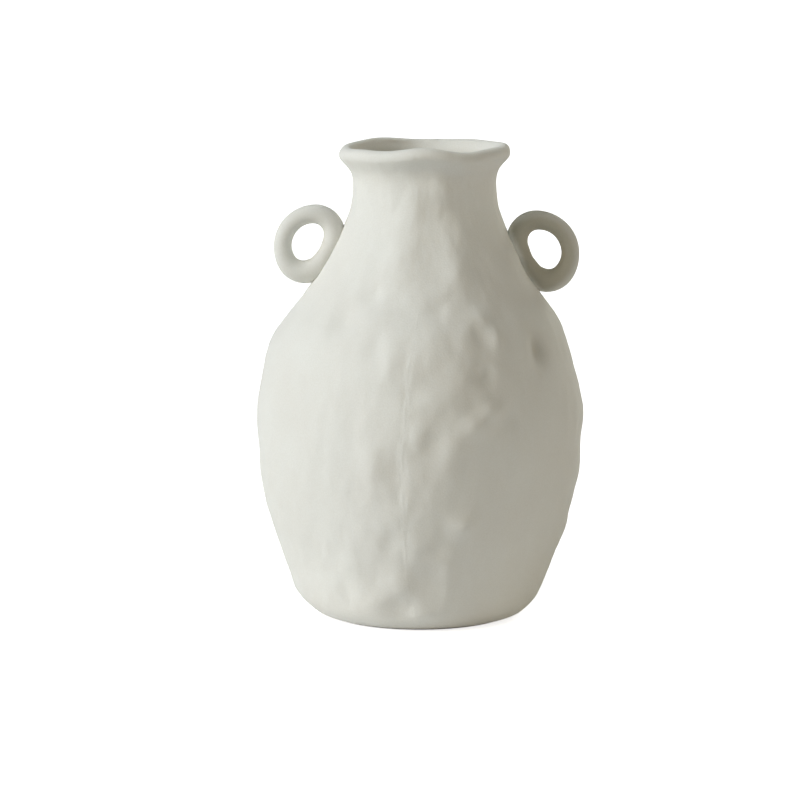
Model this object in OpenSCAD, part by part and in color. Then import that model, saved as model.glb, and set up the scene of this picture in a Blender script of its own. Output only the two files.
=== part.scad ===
// Hand-pinched ceramic vase with a flared lip and two small ring handles.
// One fired piece. It stands on the XY plane, centred on the Z axis, front towards -Y.
// Azimuths are in degrees from +X, so the front is at -90.

/* [Main sizes] */
// Height from the foot to the crest of the lip, without the lip's waves
vase_h = 190; // [180:1:215]
// Diameter of the belly at its widest
belly_d = 131.4; // [124:0.2:140]

/* [Base] */
// Diameter of the flat foot
foot_d = 72.5; // [60:0.5:84]
// Diameter where the rounded heel ends
heel_d = 97.4; // [90:0.2:104]
// Height of the rounded heel
heel_h = 9; // [6:0.5:14]
// Share of the heel's swelling that is reached near its bottom
heel_fullness = 0.48; // [0.3:0.01:0.65]
// Width of the ring that the foot rests on
foot_ring_w = 7; // [4:0.5:12]
// Depth of the hollow inside the foot ring
foot_hollow = 1.2; // [0.5:0.1:2.5]
// Width of the hollow's sloping edge
hollow_edge = 2.5; // [1:0.5:6]

/* [Body] */
// Diameter of the low body
low_d = 110; // [104:0.2:116]
// Height of the low body over the foot
low_h = 24; // [18:0.5:32]
// Diameter of the flank
flank_d = 124.2; // [118:0.2:130]
// Height of the flank over the foot
flank_h = 48; // [38:0.5:58]
// Height of the belly over the foot
belly_h = 80; // [68:0.5:88]
// Diameter of the upper body
upper_d = 124.6; // [118:0.2:131]
// Rise from the upper body to the shoulder
shoulder_rise = 14; // [10:0.5:20]
// Diameter of the shoulder
shoulder_d = 114.4; // [106:0.2:120]
// Rise from the shoulder to the middle of the slope above it
slope_rise = 14; // [10:0.5:20]
// Diameter at the middle of that slope
slope_d = 93.4; // [86:0.2:100]
// Rise from the middle of the slope to the neck's root
root_rise = 16; // [12:0.5:22]

/* [Neck and lip] */
// Diameter at the root of the neck
root_d = 73.8; // [68:0.2:80]
// Rise from the root to the neck
neck_rise = 16; // [10:0.5:24]
// Diameter of the neck
neck_d = 60; // [54:0.2:66]
// Rise from the neck to its waist
waist_rise = 11; // [7:0.5:16]
// Narrowest diameter of the neck
waist_d = 57.4; // [50:0.2:60]
// Rise from the waist to the start of the flare
throat_rise = 5.5; // [4:0.5:10]
// Diameter where the flare starts
throat_d = 59.4; // [54:0.2:62]
// Rise of the flare
lip_rise = 5.2; // [3:0.2:8]
// Diameter of the flared lip before its rounded edge
lip_d = 67.2; // [62:0.2:74]
// Sideways lean of the neck
neck_lean = 1.95; // [0:0.05:5]

/* [Wall] */
// Thickness of the wall
wall = 4.5; // [3.8:0.1:6]
// Thickness of the rounded lip
lip_t = 6; // [4:0.1:7]
// Thickness of the floor
floor_t = 6; // [4:0.1:9]

/* [Ring handles] */
// Outer diameter of the left ring
left_ring_d = 33.2; // [30:0.1:38]
// Distance from the wall to the centre of the left ring
left_reach = 6.1; // [5:0.1:7.5]
// Drop of the left ring's middle below the neck's root
left_drop = 1.3; // [0:0.1:8]
// Outer diameter of the right ring
right_ring_d = 33.8; // [30:0.1:38]
// Distance from the wall to the centre of the right ring
right_reach = 6.4; // [5:0.1:7.5]
// Drop of the right ring's middle below the neck's root
right_drop = 4.2; // [0:0.1:8]
// Thickness of the clay coil at the far side of a ring
coil_d = 7.2; // [5.5:0.1:8]
// Thickness of the coil where its upper end meets the wall
coil_top_d = 8.6; // [6:0.1:9.2]
// Thickness of the coil where its lower end meets the wall
coil_low_d = 9.5; // [7:0.1:10.5]
// Thickness of the coil along the wall, halfway between its ends
coil_wall_d = 6.8; // [5:0.1:9]
// How far the coil's centre lies off the wall where it is luted on
coil_seat = 0.8; // [0.2:0.1:1.6]
// Radius at which the coil's centre bends onto the wall
coil_bend = 8; // [6:0.1:8.6]

/* [Hand marks] */
// Depth of a full finger mark
mark_depth = 1; // [0:0.1:1.3]
// Full width of a finger mark
mark_w = 12; // [9:0.5:18]
// Full height of a finger mark
mark_h = 26; // [18:0.5:40]
// Share of the radius that the body loses between its four soft ridges
squaring = 0.05; // [0:0.005:0.07]
// Height of a full wave of the lip
lip_wave = 1; // [0:0.1:2]

/* [Hidden] */

around = 60;        // facets round the body
outer_step = 5;     // greatest height between two levels of the outside
inner_step = 15;    // the same on the inside
fine_step = 2.5;    // the same at the heel and in the flare, inside and outside
lip_steps = 6;      // facets over the rounded lip
coil_sides = 12;    // facets round a coil
arc_steps = 18;     // facets along the free arc of a ring
bend_steps = 4;     // facets along each of its bends onto the wall
swell_from = 20;    // angle round a ring, from its far side, at which the coil starts to swell
swell_to = 110;     // and at which it is thickest
clay = [0.86, 0.85, 0.81];

// Height of the lip's station, where its rounded edge begins
flare = (lip_d - throat_d)/2/lip_rise;
lip_z = vase_h - lip_t/2*(1 + flare/sqrt(1 + flare*flare));

// Heights of the other stations: the lower ones over the foot, the upper ones below the lip
heel_start_z = heel_h/4;
throat_z = lip_z - lip_rise;
waist_z = throat_z - throat_rise;
neck_z = waist_z - waist_rise;
root_z = neck_z - neck_rise;
slope_z = root_z - root_rise;
shoulder_z = slope_z - slope_rise;
upper_z = shoulder_z - shoulder_rise;

// Profile: height and radius at each station
PROFILE = [
    [0, foot_d/2],
    [heel_start_z, foot_d/2 + heel_fullness*(heel_d - foot_d)/2],
    [heel_h, heel_d/2],
    [low_h, low_d/2],
    [flank_h, flank_d/2],
    [belly_h, belly_d/2],
    [upper_z, upper_d/2],
    [shoulder_z, shoulder_d/2],
    [slope_z, slope_d/2],
    [root_z, root_d/2],
    [neck_z, neck_d/2],
    [waist_z, waist_d/2],
    [throat_z, throat_d/2],
    [lip_z, lip_d/2],
];
last = len(PROFILE) - 1;

// Marks left by the fingers: azimuth, height as a share of the lip's, width and
// height as shares of a full mark, and depth (minus) or swelling (plus)
MARKS = [
    // outline seen from the front
    [182, 0.655, 2.5, 0.5, -0.7], [180, 0.5, 2.5, 0.5, -0.3],
    [180, 0.36, 2.5, 0.5, -0.6], [180, 0.28, 3.4, 1.2, 0.6],
    [180, 0.12, 2.5, 0.4, -0.1], [182, 0.06, 2.5, 0.35, 0.9],
    [0, 0.75, 1.1, 0.45, -1.6], [0, 0.67, 1.3, 0.6, 0.3], [0, 0.605, 2.5, 1, -1],
    [0, 0.54, 2.5, 0.4, -0.5], [0, 0.45, 2.5, 0.3, 0.4], [0, 0.39, 2.5, 0.3, -0.3],
    [0, 0.31, 2.5, 0.5, 0.5], [0, 0.235, 2.5, 0.4, -0.5],
    [0, 0.185, 2.5, 0.45, 0.7], [0, 0.1, 3.4, 1.2, -0.8],
    // front of the neck
    [-75, 0.94, 0.8, 0.4, 1.4], [-135, 0.935, 1, 0.4, -0.5], [-102, 0.89, 1, 0.6, 0.5],
    [-86, 0.85, 1, 0.8, -0.8], [-65, 0.85, 0.8, 0.5, 0.6], [-104, 0.84, 0.8, 0.6, 0.2],
    [-106, 0.785, 0.9, 0.6, 0.9], [-86, 0.765, 1, 0.5, -0.6], [-69, 0.77, 0.9, 0.45, 1],
    [-52, 0.78, 1, 0.6, -0.8],
    // front of the shoulder
    [-121, 0.785, 0.7, 0.4, -0.5], [-117, 0.725, 0.8, 0.35, -1.2], [-143, 0.715, 1.2, 0.5, 0.7],
    [-83, 0.695, 0.7, 0.35, -0.8], [-63, 0.68, 0.9, 0.3, 1.2], [-111, 0.675, 1, 0.35, 1.1],
    [-128, 0.665, 0.9, 0.4, -1.6], [-86, 0.64, 0.5, 0.4, 0.3], [-73, 0.64, 0.6, 0.5, 0.3],
    [-65, 0.635, 0.7, 0.4, -0.8], [-58, 0.635, 0.6, 0.4, 1], [-78, 0.625, 0.8, 0.3, -0.4],
    [-108, 0.62, 0.6, 0.4, -0.7], [-36, 0.6, 0.7, 0.45, -2.4], [-45, 0.6, 0.7, 0.5, 0.7],
    [-101, 0.59, 0.6, 0.5, 0.8], [-76, 0.565, 0.8, 0.4, 0.5], [-65, 0.565, 0.6, 0.3, -2.2],
    // front of the belly
    [-83, 0.58, 0.8, 0.35, -0.4], [-88, 0.55, 0.8, 0.35, -0.4], [-93, 0.525, 0.8, 0.3, -0.5],
    [-80, 0.52, 0.9, 0.3, 0.5], [-72, 0.495, 0.7, 0.3, -0.7], [-63, 0.49, 0.9, 0.3, 1.4],
    [-116, 0.48, 1, 0.8, -0.5], [-80, 0.475, 0.8, 0.3, -0.2], [-56, 0.47, 1, 0.5, -1],
    [-70, 0.46, 1, 0.4, 1.7], [-91, 0.445, 0.6, 0.4, 1], [-85, 0.43, 0.7, 0.45, -0.8],
    [-148, 0.42, 1.6, 1, -0.6], [-78, 0.41, 1.1, 0.5, 1], [-107, 0.37, 0.8, 0.8, 1.1],
    [-98, 0.35, 0.6, 0.7, -0.4], [-81, 0.36, 0.9, 0.5, 0.5], [-34, 0.36, 1.6, 1, -0.5],
    // front of the low body
    [-100, 0.265, 0.7, 0.4, 0.5], [-74, 0.245, 1, 0.4, 1.9], [-81, 0.235, 0.6, 0.5, -0.7],
    [-101, 0.21, 0.6, 0.35, -0.7], [-92, 0.2, 0.6, 0.6, 0.5], [-84, 0.195, 0.5, 0.3, -0.3],
    [-140, 0.17, 1.4, 0.8, -0.6], [-109, 0.15, 0.9, 0.5, -0.3], [-120, 0.15, 0.8, 0.5, 0.6],
    [-79, 0.14, 0.6, 0.6, 0.8], [-99, 0.125, 0.7, 0.5, 0.6], [-86, 0.12, 1, 0.5, -1.2],
    [-125, 0.09, 0.8, 0.5, -0.9], [-112, 0.065, 0.9, 0.3, 0.6], [-99, 0.06, 0.9, 0.35, -1.3],
    [-88, 0.04, 1.1, 0.35, 1],
    // back
    [28, 0.46, 1.3, 0.9, -0.9], [38, 0.58, 1.1, 0.9, -1], [52, 0.33, 1, 0.8, 0.8],
    [58, 0.5, 0.9, 0.7, -0.8], [66, 0.41, 1, 0.8, -1], [74, 0.62, 0.8, 0.6, 0.8],
    [88, 0.55, 1.1, 0.7, -1.1], [96, 0.43, 0.9, 0.9, 0.5], [104, 0.34, 1.2, 1, -1.1],
    [112, 0.52, 0.8, 0.8, -0.8], [128, 0.46, 1.1, 0.8, -1], [136, 0.6, 1.2, 0.6, -0.8],
    [150, 0.32, 1.3, 0.9, -0.9], [36, 0.24, 1.2, 0.8, -0.8], [60, 0.2, 1.2, 0.7, -1],
    [80, 0.25, 0.9, 0.7, 0.8], [96, 0.15, 1.2, 0.7, -1], [122, 0.2, 1, 0.8, 0.7],
    [140, 0.12, 1.2, 0.6, -0.8], [70, 0.08, 1, 0.4, -1], [82, 0.78, 0.8, 0.9, -0.8],
    [100, 0.84, 0.8, 0.8, 0.7], [118, 0.7, 0.9, 0.6, 0.8], [64, 0.72, 0.8, 0.6, -0.7],
    [132, 0.8, 0.9, 0.8, -0.6], [90, 0.93, 0.7, 0.4, -0.7],
];

// Waves of the lip: azimuth, half spread in degrees, share of a full wave
LIP_WAVES = [
    [-90, 18, 1.3], [-60, 20, -0.6], [-126, 22, -0.4], [0, 26, 0.4], [118, 20, 0.5], [75, 20, -0.2],
];

// Sum of a list of numbers
function sum(v) = v*[for (x = v) 1];

// 0 below a, 1 above b, and a smooth step between
function smooth(a, b, x) = let (t = min(1, max(0, (x - a)/(b - a)))) t*t*(3 - 2*t);

// Signed difference of two azimuths, from -180 to 180
function turn(a, b) = atan2(sin(a - b), cos(a - b));

// Station below the height z
function span(z) = max([for (i = [0:last - 1]) if (i == 0 || PROFILE[i][0] <= z) i]);

// Slope of the profile at station i, from its neighbours
function station_slope(i) =
    let (a = PROFILE[max(i - 1, 0)], b = PROFILE[min(i + 1, last)])
    (b[1] - a[1])/(b[0] - a[0]);

// Radius of the profile at the height z, a cubic between two stations
function profile_r(z) =
    let (
        i = span(z),
        a = PROFILE[i],
        b = PROFILE[i + 1],
        h = b[0] - a[0],
        t = (z - a[0])/h,
        t2 = t*t,
        t3 = t2*t
    )
    (2*t3 - 3*t2 + 1)*a[1] + (t3 - 2*t2 + t)*h*station_slope(i)
    + (3*t2 - 2*t3)*b[1] + (t3 - t2)*h*station_slope(i + 1);

// How fast that radius grows with height
function profile_slope(z) =
    let (
        i = span(z),
        a = PROFILE[i],
        b = PROFILE[i + 1],
        h = b[0] - a[0],
        t = (z - a[0])/h,
        t2 = t*t
    )
    6*(t2 - t)*(a[1] - b[1])/h + (3*t2 - 4*t + 1)*station_slope(i)
    + (3*t2 - 2*t)*station_slope(i + 1);

// Height of the hand marks on the skin, each a soft hollow or swelling
function relief(az, z) =
    let (r = profile_r(z))
    smooth(0, heel_h, z)*mark_depth*sum([
        for (m = MARKS)
            let (
                u = r*turn(az, m[0])*PI/180/(mark_w/2*m[2]),
                v = (z - m[1]*lip_z)/(mark_h/2*m[3])
            )
            m[4]*exp(-u*u - v*v)
    ]);

// Share of the round section that is left between the four soft ridges
function section(az, z) =
    1 - squaring*pow(sin(2*az), 2)*smooth(0, low_h, z)*(1 - 0.5*smooth(shoulder_z, neck_z, z));

// Rise of the lip's edge
function wave(az) =
    lip_wave*sum([for (w = LIP_WAVES) w[2]*exp(-pow(turn(az, w[0])/w[1], 2))]);

// Point of the wall: inset below the outer skin, and along past the level z
function skin(az, z, inset = 0, along = 0) =
    let (
        s = profile_slope(z),
        n = sqrt(1 + s*s),
        r = profile_r(z)*section(az, z) + relief(az, z) - inset/n + along*s/n,
        lean = neck_lean*smooth(upper_z, root_z, z)
    )
    [
        lean + r*cos(az),
        r*sin(az),
        z + inset*s/n + along/n + wave(az)*smooth(root_z, lip_z, z)
    ];

// Levels up the wall, at most step apart, and finer at the heel and in the flare
function levels(step) = concat(
    [for (i = [0:last - 1])
        let (
            low = PROFILE[i][0],
            rise = PROFILE[i + 1][0] - low,
            is_fine = PROFILE[i + 1][0] <= heel_h || low >= waist_z,
            count = ceil(rise/(is_fine ? fine_step : step))
        )
        each [for (k = [0:count - 1]) low + rise*k/count]],
    [lip_z]
);

// Thickness of the wall at the level z, growing towards the lip
function wall_at(z) = wall + (lip_t - wall)*smooth(waist_z, lip_z, z);

AZIMUTHS = [for (i = [0:around - 1]) 360*i/around];

// Inner point at the level z, never below the floor
function inner(az, z) = let (p = skin(az, z, wall_at(z))) [p[0], p[1], max(p[2], floor_t)];

// Flat ring of points, share of the way from a ring of points to its middle
function shrunk(ring, share, z) = [for (p = ring) [p[0]*(1 - share), p[1]*(1 - share), z]];

// The thrown body: outside, rounded lip, inside, floor and underside in one skin
module body() {
    outside = [for (z = levels(outer_step)) [for (az = AZIMUTHS) skin(az, z)]];
    lip = [
        for (i = [1:lip_steps])
            let (a = 180*i/lip_steps)
            [for (az = AZIMUTHS) skin(az, lip_z, lip_t/2*(1 - cos(a)), lip_t/2*sin(a))]
    ];
    inner_levels = levels(inner_step);
    inside = [
        for (i = [len(inner_levels) - 2:-1:0])
            [for (az = AZIMUTHS) inner(az, inner_levels[i])]
    ];
    ring_share = foot_ring_w/(foot_d/2);
    hollow_share = ring_share + hollow_edge/(foot_d/2);
    rings = concat(
        [shrunk(outside[0], hollow_share, foot_hollow)],
        [shrunk(outside[0], ring_share, 0)],
        outside,
        lip,
        inside
    );
    points = concat([each each rings], [[0, 0, foot_hollow], [0, 0, floor_t]]);
    under = len(points) - 2;
    over = len(points) - 1;
    top = (len(rings) - 1)*around;
    faces = concat(
        [for (k = [0:len(rings) - 2], i = [0:around - 1])
            let (a = k*around + i, b = k*around + (i + 1) % around)
            each [[a, a + around, b + around], [a, b + around, b]]],
        [for (i = [0:around - 1]) [under, i, (i + 1) % around]],
        [for (i = [0:around - 1]) [over, top + (i + 1) % around, top + i]]
    );
    polyhedron(points, faces, convexity = 8);
}

// Arc of points round c, from the angle a to the angle b, without the last
function arc(c, r, a, b, steps) =
    [for (i = [0:steps - 1]) let (t = a + (b - a)*i/steps) c + r*[cos(t), sin(t)]];

// Middle line of a ring's coil, in the ring's own plane: out from the wall and up
// along it. A circle whose side towards the wall is cut straight, with two bends.
function ring_line(r, reach) =
    let (
        flat = coil_seat - reach,
        x = flat + coil_bend,
        y = sqrt(pow(r - coil_bend, 2) - x*x),
        turned = atan2(y, x)
    )
    concat(
        arc([0, 0], r, -turned, turned, arc_steps),
        arc([x, y], coil_bend, turned, 180, bend_steps),
        [[flat, y], [flat, 0]],
        arc([x, -y], coil_bend, -180, -turned, bend_steps)
    );

// Thickness of the coil at the point p of that line: it swells at its ends on the wall
function coil_at(p, r) =
    let (
        end_d = coil_low_d + (coil_top_d - coil_low_d)*smooth(-r, r, p[1]),
        turned = abs(atan2(p[1], p[0])),
        thick = coil_d + (end_d - coil_d)*smooth(swell_from, swell_to, turned)
    )
    thick + (coil_wall_d - thick)*smooth(swell_to, 180, turned);

// Ring handle: a closed coil of clay that stands on the wall in the XZ plane
module ring_handle(az, ring_d, reach, drop) {
    r = (ring_d - coil_d)/2;
    middle_z = root_z - drop;
    half_chord = sqrt(r*r - reach*reach);
    low = skin(az, middle_z - half_chord);
    high = skin(az, middle_z + half_chord);
    up = (high - low)/norm(high - low);
    out = [cos(az)*up[2], 0, -cos(az)*up[0]];
    foot = (low + high)/2;
    flat_loop = ring_line(r, reach);
    loop = [for (p = flat_loop) foot + out*(reach + p[0]) + up*p[1]];
    steps = len(loop);
    points = [
        for (i = [0:steps - 1])
            let (
                ahead = loop[(i + 1) % steps] - loop[(i + steps - 1) % steps],
                along = ahead/norm(ahead),
                across = [along[2], 0, -along[0]],
                coil_r = coil_at(flat_loop[i], r)/2
            )
            each [
                for (k = [0:coil_sides - 1])
                    let (b = 360*k/coil_sides)
                    loop[i] + coil_r*(cos(b)*across + sin(b)*[0, 1, 0])
            ]
    ];
    faces = [
        for (i = [0:steps - 1], k = [0:coil_sides - 1])
            let (
                a = i*coil_sides + k,
                b = i*coil_sides + (k + 1) % coil_sides,
                next = ((i + 1) % steps)*coil_sides,
                c = next + k,
                d = next + (k + 1) % coil_sides
            )
            each [[a, d, b], [a, c, d]]
    ];
    polyhedron(points, faces, convexity = 4);
}

module vase() {
    color(clay)
    union() {
        body();
        ring_handle(180, left_ring_d, left_reach, left_drop);
        ring_handle(0, right_ring_d, right_reach, right_drop);
    }
}

vase();
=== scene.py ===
"""Looks of the ceramic vase: its skin at full detail, matte bisque clay, floor, light and camera.

Sizes are in millimetres and azimuths in degrees from +X, as in the part's source, up to
the point where a mesh is made. The front is at azimuth -90.
"""
import math

import bmesh
import bpy
import numpy as np
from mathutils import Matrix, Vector, noise


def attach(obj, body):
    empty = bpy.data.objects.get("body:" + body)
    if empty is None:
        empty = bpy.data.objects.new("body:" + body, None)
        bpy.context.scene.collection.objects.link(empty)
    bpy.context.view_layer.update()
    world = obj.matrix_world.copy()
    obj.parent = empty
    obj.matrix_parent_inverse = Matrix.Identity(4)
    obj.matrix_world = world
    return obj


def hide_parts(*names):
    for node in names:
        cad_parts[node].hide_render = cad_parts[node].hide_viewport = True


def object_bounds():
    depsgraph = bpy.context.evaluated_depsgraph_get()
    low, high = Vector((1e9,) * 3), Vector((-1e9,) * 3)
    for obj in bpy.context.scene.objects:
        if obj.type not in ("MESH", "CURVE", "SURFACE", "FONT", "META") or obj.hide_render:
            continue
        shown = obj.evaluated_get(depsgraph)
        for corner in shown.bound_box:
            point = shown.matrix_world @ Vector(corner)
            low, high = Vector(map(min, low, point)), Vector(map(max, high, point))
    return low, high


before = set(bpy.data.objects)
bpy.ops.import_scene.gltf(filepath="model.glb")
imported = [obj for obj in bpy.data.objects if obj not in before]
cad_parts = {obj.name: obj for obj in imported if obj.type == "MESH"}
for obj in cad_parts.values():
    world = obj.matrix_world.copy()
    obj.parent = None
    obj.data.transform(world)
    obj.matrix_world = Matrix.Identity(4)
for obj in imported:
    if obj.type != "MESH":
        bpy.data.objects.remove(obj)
cad_low, cad_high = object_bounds()

MM = 0.001

# Sizes of the profile's stations: the lower ones over the foot, the upper ones by their rise
VASE_H = 190.0
FOOT_D = 72.5
HEEL_H, HEEL_D, HEEL_FULLNESS = 9.0, 97.4, 0.48
LOW_H, LOW_D = 24.0, 110.0
FLANK_H, FLANK_D = 48.0, 124.2
BELLY_H, BELLY_D = 80.0, 131.4
UPPER_D = 124.6
SHOULDER_RISE, SHOULDER_D = 14.0, 114.4
SLOPE_RISE, SLOPE_D = 14.0, 93.4
ROOT_RISE, ROOT_D = 16.0, 73.8
NECK_RISE, NECK_D = 16.0, 60.0
WAIST_RISE, WAIST_D = 11.0, 57.4
THROAT_RISE, THROAT_D = 5.5, 59.4
LIP_RISE, LIP_D = 5.2, 67.2
NECK_LEAN = 1.95
FOOT_RING_W = 7.0
FOOT_HOLLOW = 1.2
HOLLOW_EDGE = 2.5
WALL = 4.5
LIP_T = 6.0
FLOOR_T = 6.0

# Ring handles
LEFT_RING = {"az": 180.0, "ring_d": 33.2, "reach": 6.1, "drop": 1.3}
RIGHT_RING = {"az": 0.0, "ring_d": 33.8, "reach": 6.4, "drop": 4.2}
COIL_D = 7.2
COIL_TOP_D = 8.6
COIL_LOW_D = 9.5
COIL_WALL_D = 6.8
COIL_SEAT = 0.8
COIL_BEND = 8.0
SWELL_FROM, SWELL_TO = 20.0, 110.0

# Hand marks
MARK_DEPTH = 1.0
MARK_W = 12.0
MARK_H = 26.0
SQUARING = 0.05
SQUARING_LOST = 0.5             # share of it that is gone at the neck
LIP_WAVE = 1.0

# The mould's parting line, which is only half rubbed away
SEAM_AZ = -96.2
SEAM_MID_Z = 60.0               # height at which the line turns
SEAM_BOW = 3.0                  # degrees that it bends back at the foot, and at twice that height
SEAM_WAVERS = [(0.2, 6.0, 0.0), (0.12, 2.6, 1.0)]   # degrees, millimetres a radian, phase
SEAM_H = 0.06                   # how far it stands proud
SEAM_W = 0.8                    # width between the places where it has fallen to 1/e
SEAM_BREAKS = (1.7, 4.3)        # millimetres a radian of the two waves that break it up
SEAM_WORN = (-0.6, 0.7)         # product of the two at which it is gone, and whole
SEAM_START = (2.0, 12.0)        # heights over which it comes up out of the foot
SEAM_END = (112.0, 150.0)       # and over which it dies out

# The fine unevenness that patting leaves: its height, its size across, and how much larger
# it is upwards
PAT_H = 0.32
PAT_W = 7.0
PAT_TALL = 1.7
PAT_OCTAVES = 3

# Fineness of the mesh
AROUND = 300
SEAM_COLUMNS = 8
SEAM_SPREAD = 1.6               # how many common columns these take up on each side
SEAM_CLEAR = 1.1                # and what share of that the next common column keeps off
SEAM_PULL = 20.0                # degrees over which columns bend along with the seam
OUTER_STEP = 1.3
INNER_STEP = 4.0
FINE_STEP = 0.7
LIP_STEPS = 16
COIL_SIDES = 36
ARC_STEPS = 60
BEND_STEPS = 14
CHORD_STEPS = 8
JOINT_STEP = 0.03               # points of a union's joint that are closer than this become one
UNDER_SHARES = (0.75, 0.5)      # shares of the radius that the underside's rings are drawn in by
OVER_SHARES = (0.33, 0.66)      # and the same for the floor's
SHARP_ANGLE = 38.0              # degrees between two faces from which their edge stays sharp


def stations():
    """Heights and radii of the profile's stations."""
    flare = (LIP_D - THROAT_D)/2/LIP_RISE
    lip = VASE_H - LIP_T/2*(1 + flare/math.hypot(1, flare))
    throat = lip - LIP_RISE
    waist = throat - THROAT_RISE
    neck = waist - WAIST_RISE
    root = neck - NECK_RISE
    slope = root - ROOT_RISE
    shoulder = slope - SLOPE_RISE
    pairs = [
        (0.0, FOOT_D), (HEEL_H/4, FOOT_D + HEEL_FULLNESS*(HEEL_D - FOOT_D)),
        (HEEL_H, HEEL_D), (LOW_H, LOW_D), (FLANK_H, FLANK_D), (BELLY_H, BELLY_D),
        (shoulder - SHOULDER_RISE, UPPER_D), (shoulder, SHOULDER_D), (slope, SLOPE_D),
        (root, ROOT_D), (neck, NECK_D), (waist, WAIST_D), (throat, THROAT_D), (lip, LIP_D),
    ]
    z, d = np.array(pairs).T
    return z, d/2


PROFILE_Z, PROFILE_R = stations()
LAST = len(PROFILE_Z) - 1
LOW_Z, UPPER_Z, SHOULDER_Z = PROFILE_Z[3], PROFILE_Z[6], PROFILE_Z[7]
ROOT_Z, NECK_Z, WAIST_Z, LIP_Z = PROFILE_Z[9], PROFILE_Z[10], PROFILE_Z[11], PROFILE_Z[LAST]
SLOPES = np.array([
    (PROFILE_R[min(i + 1, LAST)] - PROFILE_R[max(i - 1, 0)])
    / (PROFILE_Z[min(i + 1, LAST)] - PROFILE_Z[max(i - 1, 0)])
    for i in range(LAST + 1)
])

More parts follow.
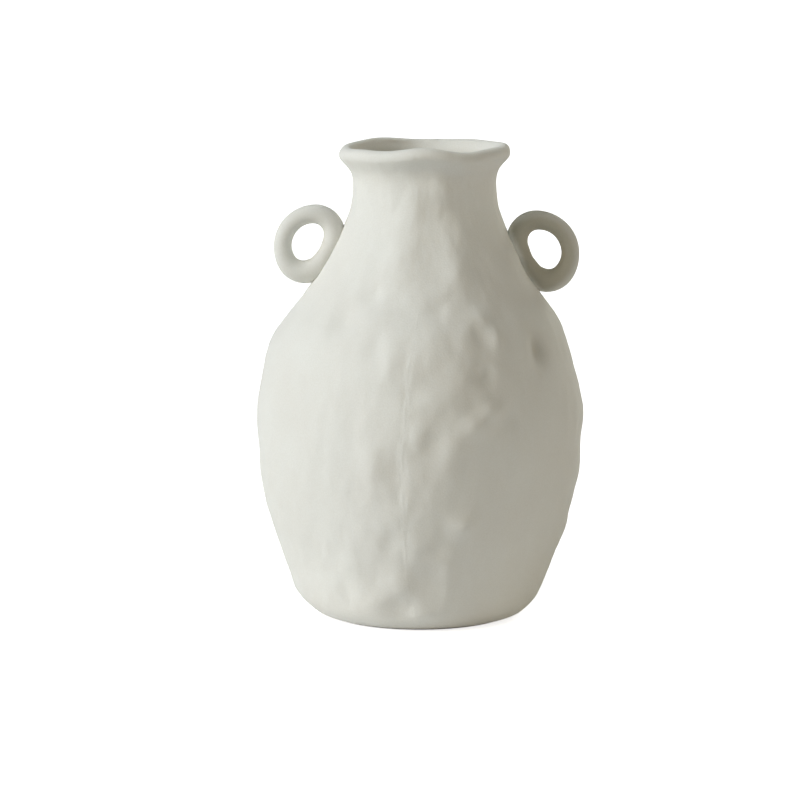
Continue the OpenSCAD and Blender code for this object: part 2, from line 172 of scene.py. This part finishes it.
# Marks left by the fingers: azimuth, height as a share of the lip's, width and height as
# shares of a full mark, and depth (minus) or swelling (plus)
MARKS = [
    # outline seen from the front
    (182, 0.655, 2.5, 0.5, -0.7), (180, 0.5, 2.5, 0.5, -0.3),
    (180, 0.36, 2.5, 0.5, -0.6), (180, 0.28, 3.4, 1.2, 0.6),
    (180, 0.12, 2.5, 0.4, -0.1), (182, 0.06, 2.5, 0.35, 0.9),
    (0, 0.75, 1.1, 0.45, -1.6), (0, 0.67, 1.3, 0.6, 0.3), (0, 0.605, 2.5, 1, -1),
    (0, 0.54, 2.5, 0.4, -0.5), (0, 0.45, 2.5, 0.3, 0.4), (0, 0.39, 2.5, 0.3, -0.3),
    (0, 0.31, 2.5, 0.5, 0.5), (0, 0.235, 2.5, 0.4, -0.5),
    (0, 0.185, 2.5, 0.45, 0.7), (0, 0.1, 3.4, 1.2, -0.8),
    # front of the neck
    (-75, 0.94, 0.8, 0.4, 1.4), (-135, 0.935, 1, 0.4, -0.5), (-102, 0.89, 1, 0.6, 0.5),
    (-86, 0.85, 1, 0.8, -0.8), (-65, 0.85, 0.8, 0.5, 0.6), (-104, 0.84, 0.8, 0.6, 0.2),
    (-106, 0.785, 0.9, 0.6, 0.9), (-86, 0.765, 1, 0.5, -0.6), (-69, 0.77, 0.9, 0.45, 1),
    (-52, 0.78, 1, 0.6, -0.8),
    # front of the shoulder
    (-121, 0.785, 0.7, 0.4, -0.5), (-117, 0.725, 0.8, 0.35, -1.2), (-143, 0.715, 1.2, 0.5, 0.7),
    (-83, 0.695, 0.7, 0.35, -0.8), (-63, 0.68, 0.9, 0.3, 1.2), (-111, 0.675, 1, 0.35, 1.1),
    (-128, 0.665, 0.9, 0.4, -1.6), (-86, 0.64, 0.5, 0.4, 0.3), (-73, 0.64, 0.6, 0.5, 0.3),
    (-65, 0.635, 0.7, 0.4, -0.8), (-58, 0.635, 0.6, 0.4, 1), (-78, 0.625, 0.8, 0.3, -0.4),
    (-108, 0.62, 0.6, 0.4, -0.7), (-36, 0.6, 0.7, 0.45, -2.4), (-45, 0.6, 0.7, 0.5, 0.7),
    (-101, 0.59, 0.6, 0.5, 0.8), (-76, 0.565, 0.8, 0.4, 0.5), (-65, 0.565, 0.6, 0.3, -2.2),
    # front of the belly
    (-83, 0.58, 0.8, 0.35, -0.4), (-88, 0.55, 0.8, 0.35, -0.4), (-93, 0.525, 0.8, 0.3, -0.5),
    (-80, 0.52, 0.9, 0.3, 0.5), (-72, 0.495, 0.7, 0.3, -0.7), (-63, 0.49, 0.9, 0.3, 1.4),
    (-116, 0.48, 1, 0.8, -0.5), (-80, 0.475, 0.8, 0.3, -0.2), (-56, 0.47, 1, 0.5, -1),
    (-70, 0.46, 1, 0.4, 1.7), (-91, 0.445, 0.6, 0.4, 1), (-85, 0.43, 0.7, 0.45, -0.8),
    (-148, 0.42, 1.6, 1, -0.6), (-78, 0.41, 1.1, 0.5, 1), (-107, 0.37, 0.8, 0.8, 1.1),
    (-98, 0.35, 0.6, 0.7, -0.4), (-81, 0.36, 0.9, 0.5, 0.5), (-34, 0.36, 1.6, 1, -0.5),
    # front of the low body
    (-100, 0.265, 0.7, 0.4, 0.5), (-74, 0.245, 1, 0.4, 1.9), (-81, 0.235, 0.6, 0.5, -0.7),
    (-101, 0.21, 0.6, 0.35, -0.7), (-92, 0.2, 0.6, 0.6, 0.5), (-84, 0.195, 0.5, 0.3, -0.3),
    (-140, 0.17, 1.4, 0.8, -0.6), (-109, 0.15, 0.9, 0.5, -0.3), (-120, 0.15, 0.8, 0.5, 0.6),
    (-79, 0.14, 0.6, 0.6, 0.8), (-99, 0.125, 0.7, 0.5, 0.6), (-86, 0.12, 1, 0.5, -1.2),
    (-125, 0.09, 0.8, 0.5, -0.9), (-112, 0.065, 0.9, 0.3, 0.6), (-99, 0.06, 0.9, 0.35, -1.3),
    (-88, 0.04, 1.1, 0.35, 1),
    # back
    (28, 0.46, 1.3, 0.9, -0.9), (38, 0.58, 1.1, 0.9, -1), (52, 0.33, 1, 0.8, 0.8),
    (58, 0.5, 0.9, 0.7, -0.8), (66, 0.41, 1, 0.8, -1), (74, 0.62, 0.8, 0.6, 0.8),
    (88, 0.55, 1.1, 0.7, -1.1), (96, 0.43, 0.9, 0.9, 0.5), (104, 0.34, 1.2, 1, -1.1),
    (112, 0.52, 0.8, 0.8, -0.8), (128, 0.46, 1.1, 0.8, -1), (136, 0.6, 1.2, 0.6, -0.8),
    (150, 0.32, 1.3, 0.9, -0.9), (36, 0.24, 1.2, 0.8, -0.8), (60, 0.2, 1.2, 0.7, -1),
    (80, 0.25, 0.9, 0.7, 0.8), (96, 0.15, 1.2, 0.7, -1), (122, 0.2, 1, 0.8, 0.7),
    (140, 0.12, 1.2, 0.6, -0.8), (70, 0.08, 1, 0.4, -1), (82, 0.78, 0.8, 0.9, -0.8),
    (100, 0.84, 0.8, 0.8, 0.7), (118, 0.7, 0.9, 0.6, 0.8), (64, 0.72, 0.8, 0.6, -0.7),
    (132, 0.8, 0.9, 0.8, -0.6), (90, 0.93, 0.7, 0.4, -0.7),
]

# Waves of the lip: azimuth, half spread in degrees, share of a full wave
LIP_WAVES = [
    (-90, 18, 1.3), (-60, 20, -0.6), (-126, 22, -0.4), (0, 26, 0.4), (118, 20, 0.5), (75, 20, -0.2),
    # finer ones, which the source lacks
    (-168, 22, -1.1), (-122, 26, -0.3), (-57, 24, -0.65), (-14, 14, -0.5), (50, 16, 0.3),
    (98, 14, -0.35), (133, 16, 0.5),
]


def smooth(a, b, x):
    """0 below a, 1 above b, and a smooth step between."""
    t = np.clip((x - a)/(b - a), 0, 1)
    return t*t*(3 - 2*t)


def turn(a, b):
    """Signed difference of two azimuths, from -180 to 180."""
    return (a - b + 180) % 360 - 180


def profile(z):
    """Radius of the round profile at the height z, and how fast it grows with height."""
    i = np.clip(np.searchsorted(PROFILE_Z, z, side="right") - 1, 0, LAST - 1)
    h = PROFILE_Z[i + 1] - PROFILE_Z[i]
    t = (z - PROFILE_Z[i])/h
    a, b, sa, sb = PROFILE_R[i], PROFILE_R[i + 1], SLOPES[i], SLOPES[i + 1]
    r = ((2*t**3 - 3*t**2 + 1)*a + (t**3 - 2*t**2 + t)*h*sa
         + (3*t**2 - 2*t**3)*b + (t**3 - t**2)*h*sb)
    slope = 6*(t**2 - t)*(a - b)/h + (3*t**2 - 4*t + 1)*sa + (3*t**2 - 2*t)*sb
    return r, slope


def relief(az, z):
    """Height of the hand marks on the skin."""
    r, _ = profile(z)
    total = np.zeros(np.broadcast(az, z).shape)
    for mark_az, share, wide, tall, depth in MARKS:
        u = r*np.radians(turn(az, mark_az))/(MARK_W/2*wide)
        v = (z - share*LIP_Z)/(MARK_H/2*tall)
        total += depth*np.exp(-u*u - v*v)
    return smooth(0, HEEL_H, z)*MARK_DEPTH*total


def seam_az(z):
    """Azimuth of the parting line, which bends and wavers a little."""
    az = SEAM_AZ + SEAM_BOW*((z - SEAM_MID_Z)/SEAM_MID_Z)**2
    for size, length, phase in SEAM_WAVERS:
        az = az + size*np.sin(z/length + phase)
    return az


def seam(az, z):
    """The half-rubbed parting line, broken up along its length."""
    r, _ = profile(z)
    u = r*np.radians(turn(az, seam_az(z)))/(SEAM_W/2)
    short, long = SEAM_BREAKS
    left = smooth(*SEAM_WORN, np.sin(z/short)*np.sin(z/long + 1.0))
    return SEAM_H*left*np.exp(-u*u)*smooth(*SEAM_START, z)*(1 - smooth(*SEAM_END, z))


def patting(points):
    """Fine unevenness of the clay at points, in millimetres."""
    scaled = points.reshape(-1, 3)/(PAT_W, PAT_W, PAT_W*PAT_TALL)
    heights = [noise.fractal(Vector(p), 1.0, 2.0, PAT_OCTAVES) for p in scaled]
    return PAT_H*np.array(heights).reshape(points.shape[:-1])


def section(az, z):
    """Share of the round section that is left between the four soft ridges."""
    fade = smooth(0, LOW_Z, z)*(1 - SQUARING_LOST*smooth(SHOULDER_Z, NECK_Z, z))
    return 1 - SQUARING*np.sin(2*np.radians(az))**2*fade


def wave(az):
    """Rise of the lip's edge."""
    return LIP_WAVE*sum(share*np.exp(-(turn(az, a)/spread)**2) for a, spread, share in LIP_WAVES)


def skin(az, z, inset=0.0, along=0.0, fine=True):
    """Point of the wall: inset below the outer skin, and along past the level z."""
    az, z = np.broadcast_arrays(np.asarray(az, float), np.asarray(z, float))
    radius, s = profile(z)
    n = np.sqrt(1 + s*s)
    r = radius*section(az, z) + relief(az, z) - inset/n + along*s/n
    lean = NECK_LEAN*smooth(UPPER_Z, ROOT_Z, z)
    turned = np.radians(az)
    if fine:
        place = np.stack([r*np.cos(turned), r*np.sin(turned), z + along], -1)
        r = r + seam(az, z) + patting(place)*smooth(0, HEEL_H, z)
    up = z + inset*s/n + along/n + wave(az)*smooth(ROOT_Z, LIP_Z, z)
    return np.stack([lean + r*np.cos(turned), r*np.sin(turned), up], -1)


def levels(step):
    """Levels up the wall, at most step apart, and finer at the heel and in the flare."""
    found = []
    for low, high in zip(PROFILE_Z[:-1], PROFILE_Z[1:]):
        is_fine = high <= HEEL_H or low >= WAIST_Z
        count = math.ceil((high - low)/(FINE_STEP if is_fine else step))
        found += [low + (high - low)*k/count for k in range(count)]
    return found + [LIP_Z]


def azimuths():
    """Columns round the body, with extra ones close to the seam."""
    even = np.arange(AROUND)*360.0/AROUND - 180
    spread = 360.0/AROUND*SEAM_SPREAD
    near = SEAM_AZ + np.linspace(-spread, spread, 2*SEAM_COLUMNS + 1)
    keep = np.abs(turn(even, SEAM_AZ)) > spread*SEAM_CLEAR
    return np.sort(np.concatenate([even[keep], near]))


def grid_faces(rows, columns, closed_rows=False):
    """Quads of a grid of points that closes round its columns."""
    k = np.arange(rows if closed_rows else rows - 1)[:, None]
    i = np.arange(columns)[None, :]
    a = k*columns + i
    b = k*columns + (i + 1) % columns
    c = (k + 1) % rows*columns + i
    d = (k + 1) % rows*columns + (i + 1) % columns
    return np.stack([a, b, d, c], -1).reshape(-1, 4)


def make_mesh(name, points, quads, fans=()):
    """Mesh object from points in millimetres, quads, and triangle fans."""
    triangles = [tuple(t) for fan in fans for t in fan]
    faces = [tuple(q) for q in quads.tolist()] + triangles
    mesh = bpy.data.meshes.new(name)
    mesh.from_pydata((points*MM).tolist(), [], faces)
    mesh.validate()
    mesh.update()
    made = bpy.data.objects.new(name, mesh)
    bpy.context.scene.collection.objects.link(made)
    return made


def body_mesh():
    """Outside, rounded lip, inside, floor and underside of the body in one skin."""
    az = azimuths()
    near_seam = np.exp(-(turn(az, SEAM_AZ)/SEAM_PULL)**2)
    outside = [
        skin(az + (seam_az(z) - SEAM_AZ)*near_seam*(1 - smooth(*SEAM_END, z)), z)
        for z in levels(OUTER_STEP)
    ]
    lip = []
    for i in range(1, LIP_STEPS + 1):
        a = math.pi*i/LIP_STEPS
        lip.append(skin(az, LIP_Z, LIP_T/2*(1 - math.cos(a)), LIP_T/2*math.sin(a)))
    inside = []
    for z in levels(INNER_STEP)[-2::-1]:
        thickness = WALL + (LIP_T - WALL)*smooth(WAIST_Z, LIP_Z, z)
        ring = skin(az, z, thickness, fine=False)
        ring[:, 2] = np.maximum(ring[:, 2], FLOOR_T)
        inside.append(ring)

    def shrunk(ring, share, z):
        small = ring*(1 - share)
        small[:, 2] = z
        return small

    ring_share = FOOT_RING_W/(FOOT_D/2)
    hollow_share = ring_share + HOLLOW_EDGE/(FOOT_D/2)
    under = [shrunk(outside[0], s, FOOT_HOLLOW) for s in (*UNDER_SHARES, hollow_share)]
    under.append(shrunk(outside[0], ring_share, 0.0))
    over = [shrunk(inside[-1], s, FLOOR_T) for s in OVER_SHARES]
    rings = under + outside + lip + inside + over
    points = np.concatenate(rings + [np.array([[0, 0, FOOT_HOLLOW], [0, 0, FLOOR_T]])])
    columns = len(az)
    low, high = len(points) - 2, len(points) - 1
    top = (len(rings) - 1)*columns
    fans = [
        [(low, (i + 1) % columns, i) for i in range(columns)],
        [(high, top + i, top + (i + 1) % columns) for i in range(columns)],
    ]
    return make_mesh("vase_body", points, grid_faces(len(rings), columns), fans)


def ring_line(r, reach):
    """Middle line of a ring's coil in its own plane: out from the wall, and up along it."""
    flat = COIL_SEAT - reach
    x = flat + COIL_BEND
    y = math.sqrt((r - COIL_BEND)**2 - x*x)
    turned = math.atan2(y, x)

    def arc(cx, cy, radius, a, b, steps):
        t = a + (b - a)*np.arange(steps)/steps
        return np.stack([cx + radius*np.cos(t), cy + radius*np.sin(t)], -1)

    chord = np.stack([np.full(CHORD_STEPS, flat), np.linspace(y, -y, CHORD_STEPS + 1)[:-1]], -1)
    return np.concatenate([
        arc(0, 0, r, -turned, turned, ARC_STEPS),
        arc(x, y, COIL_BEND, turned, math.pi, BEND_STEPS),
        chord,
        arc(x, -y, COIL_BEND, -math.pi, -turned, BEND_STEPS),
    ])


def coil_at(flat, r):
    """Thickness of the coil along its middle line: it swells at its ends on the wall."""
    end_d = COIL_LOW_D + (COIL_TOP_D - COIL_LOW_D)*smooth(-r, r, flat[:, 1])
    turned = np.degrees(np.abs(np.arctan2(flat[:, 1], flat[:, 0])))
    thick = COIL_D + (end_d - COIL_D)*smooth(SWELL_FROM, SWELL_TO, turned)
    return thick + (COIL_WALL_D - thick)*smooth(SWELL_TO, 180, turned)


def ring_place(az, ring_d, reach, drop):
    """Centre of a ring handle, its directions out from and up the wall, and its radius."""
    r = (ring_d - COIL_D)/2
    middle_z = ROOT_Z - drop
    half_chord = math.sqrt(r*r - reach*reach)
    low = skin(az, middle_z - half_chord, fine=False)
    high = skin(az, middle_z + half_chord, fine=False)
    up = (high - low)/np.linalg.norm(high - low)
    side = math.copysign(1, math.cos(math.radians(az)))
    out = np.array([side*up[2], 0, -side*up[0]])
    return (low + high)/2 + out*reach, out, up, r


def ring_mesh(name, place):
    """Ring handle: a closed coil of clay that stands on the wall in the XZ plane."""
    centre, out, up, r = ring_place(**place)
    flat = ring_line(r, place["reach"])
    line = centre + out*flat[:, :1] + up*flat[:, 1:]
    ahead = np.roll(line, -1, 0) - np.roll(line, 1, 0)
    ahead /= np.linalg.norm(ahead, axis=1)[:, None]
    across = np.stack([ahead[:, 2], np.zeros(len(line)), -ahead[:, 0]], -1)
    b = 2*math.pi*np.arange(COIL_SIDES)/COIL_SIDES
    round_ = (np.cos(b)[None, :, None]*across[:, None]
              + np.sin(b)[None, :, None]*np.array([0.0, 1.0, 0.0]))
    thick = coil_at(flat, r)[:, None, None]
    points = (line[:, None] + thick/2*round_).reshape(-1, 3)
    quads = grid_faces(len(line), COIL_SIDES, closed_rows=True)
    return make_mesh(name, points, quads)


def clean_joint(mesh):
    """Takes out the needless points that a union leaves: on a straight edge, or too close.

    It goes twice, because taking some out can make others needless.
    """
    edit = bmesh.new()
    edit.from_mesh(mesh)
    for _ in range(2):
        on_edge = [v for v in edit.verts if len(v.link_edges) == 2]
        bmesh.ops.dissolve_verts(edit, verts=on_edge)
        bmesh.ops.dissolve_degenerate(edit, dist=JOINT_STEP*MM, edges=edit.edges[:])
    edit.to_mesh(mesh)
    edit.free()


def join(base, *others):
    """Unites closed meshes into base, as luted clay is one with the wall."""
    for other in others:
        cut = base.modifiers.new("lute", "BOOLEAN")
        cut.operation = "UNION"
        cut.solver = "MANIFOLD"
        cut.object = other
    graph = bpy.context.evaluated_depsgraph_get()
    united = bpy.data.meshes.new_from_object(base.evaluated_get(graph))
    base.modifiers.clear()
    clean_joint(united)
    base.data = united
    for other in others:
        bpy.data.objects.remove(other)


def keep_inside(obj, low, high):
    """Holds every point of a mesh inside a box, by the hair's breadth that it is out."""
    count = len(obj.data.vertices)
    flat = np.empty(count*3, np.float32)
    obj.data.vertices.foreach_get("co", flat)
    points = np.clip(flat.reshape(-1, 3), np.array(low), np.array(high))
    obj.data.vertices.foreach_set("co", points.astype(np.float32).ravel())
    obj.data.update()


# Colour of the painted shade, as shares of the body's colour
PAINTED_SHADE_COLOUR = (0.58, 0.555, 0.485)

# Painted shade on the right ring, where the body's shadow falls: how far off the wall it starts
# and is full, and how much of it is left on the ring's outer rim, which is painted lighter as rim
# light
RING_FROM, RING_TO = 0.2, 3.0
RIM_SHADE_SHARE = 0.25

# The dent right of the shoulder carries painted shade: azimuth and height of its middle,
# its half width and half height, and its share of the full tone
DENT_SHADE = {"az": -34.5, "z": 112.0, "wide": 4.5, "tall": 5.5, "share": 0.5}

# Painted shade inside the vase, below the lip: its share of the full tone, and how far below
# the lip's crest this starts and is full
INSIDE_SHARE = 0.45
INSIDE_FROM, INSIDE_TO = 1.0, 4.5


def ring_painted_shade(x, y, z):
    """Share of painted shade on the right ring, less of it on the outer rim as painted rim light.
    """
    wall = skin(RIGHT_RING["az"], np.clip(z, 0, LIP_Z), fine=False)[:, 0]
    is_ring = (z > SHOULDER_Z) & (z < NECK_Z) & (x > 0)
    centre, _, _, r = ring_place(**RIGHT_RING)
    rim = smooth(0, COIL_D/2, np.hypot(x - centre[0], z - centre[2]) - r)
    return smooth(RING_FROM, RING_TO, np.hypot(x, y) - wall)*is_ring*(1 - (1 - RIM_SHADE_SHARE)*rim)


def dent_painted_shade(az, z, inset):
    """Share of painted shade in the dent."""
    r, _ = profile(np.clip(z, 0, LIP_Z))
    u = r*np.radians(turn(az, DENT_SHADE["az"]))/DENT_SHADE["wide"]
    v = (z - DENT_SHADE["z"])/DENT_SHADE["tall"]
    return DENT_SHADE["share"]*np.exp(-u*u - v*v)*(inset < WALL/2)


def inside_painted_shade(az, z, inset):
    """Share of painted shade inside the vase."""
    below = LIP_Z + LIP_T/2 + wave(az) - z
    is_inside = smooth(LIP_T/2, WALL, inset)*(z > FLOOR_T/2)
    return INSIDE_SHARE*is_inside*smooth(INSIDE_FROM, INSIDE_TO, below)


def mark_painted_shade_share(obj):
    """Stores how much painted shade each point has, from 0 to 1."""
    flat = np.empty(len(obj.data.vertices)*3)
    obj.data.vertices.foreach_get("co", flat)
    x, y, z = flat.reshape(-1, 3).T/MM
    az = np.degrees(np.arctan2(y, x))
    near = skin(az, np.clip(z, 0, LIP_Z), fine=False)
    inset = np.hypot(near[:, 0], near[:, 1]) - np.hypot(x, y)
    share = ring_painted_shade(x, y, z) + dent_painted_shade(az, z, inset) + inside_painted_shade(az, z, inset)
    made = obj.data.attributes.new("painted_shade_share", "FLOAT", "POINT")
    made.data.foreach_set("value", share.astype(np.float32))


# The clay's soft patches and its grain: values of the noise, from 0 to 1, and their colours
PATCHES = [(0.3, (0.775, 0.765, 0.715)), (0.7, (0.80, 0.80, 0.755))]
GRAIN = [(0.35, (0.93, 0.92, 0.90)), (0.65, (1, 1, 1))]
GRAIN_SHARE = 0.5               # how strongly the grain's colours show
GRAIN_BUMP = 0.2                # its height
ROUGHNESS = (0.78, 0.95)        # where it is smoothest, and roughest


def bisque():
    """Matte fired clay: off-white, faintly mottled, with a fine grain, and darker where painted
    shade lies.
    """
    material = bpy.data.materials.new("bisque")
    material.use_nodes = True
    nodes, links = material.node_tree.nodes, material.node_tree.links
    shader = nodes["Principled BSDF"]
    shader.inputs["Specular IOR Level"].default_value = 0.25
    shader.inputs["Sheen Weight"].default_value = 0.1
    shader.inputs["Sheen Roughness"].default_value = 0.5
    where = nodes.new("ShaderNodeTexCoord")

    def cloud(scale, detail):
        made = nodes.new("ShaderNodeTexNoise")
        made.inputs["Scale"].default_value = scale
        made.inputs["Detail"].default_value = detail
        links.new(where.outputs["Object"], made.inputs["Vector"])
        return made.outputs["Fac"]

    def ramp(source, stops):
        made = nodes.new("ShaderNodeValToRGB")
        for element, (place, colour) in zip(made.color_ramp.elements, stops):
            element.position = place
            element.color = (*colour, 1)
        links.new(source, made.inputs["Fac"])
        return made.outputs["Color"]

    def multiply(a, b, share):
        made = nodes.new("ShaderNodeMix")
        made.data_type = "RGBA"
        made.blend_type = "MULTIPLY"
        made.inputs["Factor"].default_value = share
        links.new(a, made.inputs["A"])
        links.new(b, made.inputs["B"])
        return made.outputs["Result"]

    # painted shade: the stored share darkens the colour on the right ring, in a dent and inside the
    # vase
    dark = nodes.new("ShaderNodeAttribute")
    dark.attribute_name = "painted_shade_share"
    tone = ramp(dark.outputs["Fac"], [(0, (1, 1, 1)), (1, PAINTED_SHADE_COLOUR)])
    patches = ramp(cloud(35, 3), PATCHES)
    grain = ramp(cloud(1800, 2), GRAIN)
    clay = multiply(multiply(patches, grain, GRAIN_SHARE), tone, 1.0)
    links.new(clay, shader.inputs["Base Color"])

    rough = nodes.new("ShaderNodeMapRange")
    rough.inputs["To Min"].default_value = ROUGHNESS[0]
    rough.inputs["To Max"].default_value = ROUGHNESS[1]
    links.new(cloud(400, 2), rough.inputs["Value"])
    links.new(rough.outputs["Result"], shader.inputs["Roughness"])

    bump = nodes.new("ShaderNodeBump")
    bump.inputs["Strength"].default_value = 0.35
    bump.inputs["Distance"].default_value = GRAIN_BUMP*MM
    links.new(cloud(1400, 4), bump.inputs["Height"])
    links.new(bump.outputs["Normal"], shader.inputs["Normal"])
    return material


def make_vase():
    body = body_mesh()
    left = ring_mesh("left_ring", LEFT_RING)
    right = ring_mesh("right_ring", RIGHT_RING)
    join(body, left, right)
    body.name = "vase_clay"
    keep_inside(body, cad_low, cad_high)
    # paints shade into the colour: on the right ring, in a dent and inside the vase
    mark_painted_shade_share(body)
    body.data.materials.clear()
    body.data.materials.append(bisque())
    body.data.shade_smooth()
    body.data.set_sharp_from_angle(angle=math.radians(SHARP_ANGLE))
    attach(body, "root")
    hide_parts("vase")


FLOOR_R = 6.0        # in metres
FLOOR_SIDES = 96
FLOOR_GLOW = 0.8     # white that a camera sees on the floor, over its own lit colour


def is_seen(nodes, links):
    """1 for a camera, glossy or transmission ray, 0 for the rays that light things."""
    path = nodes.new("ShaderNodeLightPath")
    total = path.outputs["Is Camera Ray"]
    for name in ("Is Glossy Ray", "Is Transmission Ray"):
        add = nodes.new("ShaderNodeMath")
        add.operation = "MAXIMUM"
        links.new(total, add.inputs[0])
        links.new(path.outputs[name], add.inputs[1])
        total = add.outputs[0]
    return total


def make_floor():
    bpy.ops.mesh.primitive_circle_add(vertices=FLOOR_SIDES, radius=FLOOR_R, fill_type="NGON")
    floor = bpy.context.object
    floor.name = "floor"
    material = bpy.data.materials.new("floor_white")
    material.use_nodes = True
    nodes, links = material.node_tree.nodes, material.node_tree.links
    shader = nodes["Principled BSDF"]
    shader.inputs["Base Color"].default_value = (0.9, 0.9, 0.9, 1)
    shader.inputs["Roughness"].default_value = 1.0
    shader.inputs["Specular IOR Level"].default_value = 0.0
    shader.inputs["Emission Color"].default_value = (1, 1, 1, 1)
    glow = nodes.new("ShaderNodeMath")
    glow.operation = "MULTIPLY"
    glow.inputs[1].default_value = FLOOR_GLOW
    links.new(is_seen(nodes, links), glow.inputs[0])
    links.new(glow.outputs[0], shader.inputs["Emission Strength"])
    floor.data.materials.append(material)


def make_world():
    """White where a camera looks past the floor, and no light of its own."""
    world = bpy.data.worlds.new("studio")
    bpy.context.scene.world = world
    world.use_nodes = True
    nodes, links = world.node_tree.nodes, world.node_tree.links
    ground = nodes["Background"]
    ground.inputs["Color"].default_value = (1.0, 1.0, 1.0, 1)
    links.new(is_seen(nodes, links), ground.inputs["Strength"])


LAMP_SOFTNESS = 30.0            # degrees that each lamp takes up, seen from the vase


def make_lamp(name, azimuth, elevation, value, colour):
    """Soft far lamp. A white surface that faces it renders at about the given value."""
    data = bpy.data.lights.new(name, "SUN")
    data.energy = value*math.pi
    data.color = colour
    data.angle = math.radians(LAMP_SOFTNESS)
    lamp = bpy.data.objects.new(name, data)
    bpy.context.scene.collection.objects.link(lamp)
    a, e = math.radians(azimuth), math.radians(elevation)
    away = Vector((math.cos(a)*math.cos(e), math.sin(a)*math.cos(e), math.sin(e)))
    lamp.location = away
    lamp.rotation_mode = "QUATERNION"
    lamp.rotation_quaternion = away.to_track_quat("Z", "Y")


def make_lights():
    make_lamp("key_warm", -150, 25, 0.335, (1.14, 1.0, 0.79))
    make_lamp("key_cool", -165, 25, 0.425, (0.9, 1.0, 1.11))
    make_lamp("key_high", -165, 50, 0.10, (0.8, 1.0, 1.3))
    make_lamp("fill_high", -45, 50, 0.175, (0.96, 1.02, 0.95))
    make_lamp("fill_right", -20, 5, 0.065, (1.75, 1.0, 0.3))
    make_lamp("back_right", 60, 25, 0.235, (0.96, 1.0, 0.9))


# Camera: millimetres from the vase's axis, and the photograph's scale at the point aimed at
CAMERA_BACK = 1500.0
CAMERA_UP = 310.0
CAMERA_SIDE = -7.9
AIM_UP = 86.8
PIXELS_PER_MM = 2.481
FRAME_PIXELS = 800
SENSOR_MM = 36.0
CLIP_END = 30.0      # in metres


def make_camera():
    data = bpy.data.cameras.new("camera")
    camera = bpy.data.objects.new("camera", data)
    bpy.context.scene.collection.objects.link(camera)
    place = Vector((CAMERA_SIDE, -CAMERA_BACK, CAMERA_UP))
    aim = Vector((CAMERA_SIDE, 0, AIM_UP))
    data.sensor_width = SENSOR_MM
    data.lens = PIXELS_PER_MM*(place - aim).length*SENSOR_MM/FRAME_PIXELS
    data.clip_end = CLIP_END
    camera.location = place*MM
    camera.rotation_mode = "QUATERNION"
    camera.rotation_quaternion = (place - aim).to_track_quat("Z", "Y")
    bpy.context.scene.camera = camera


make_vase()
make_floor()
make_world()
make_lights()
make_camera()
bpy.context.scene.view_settings.view_transform = "Standard"
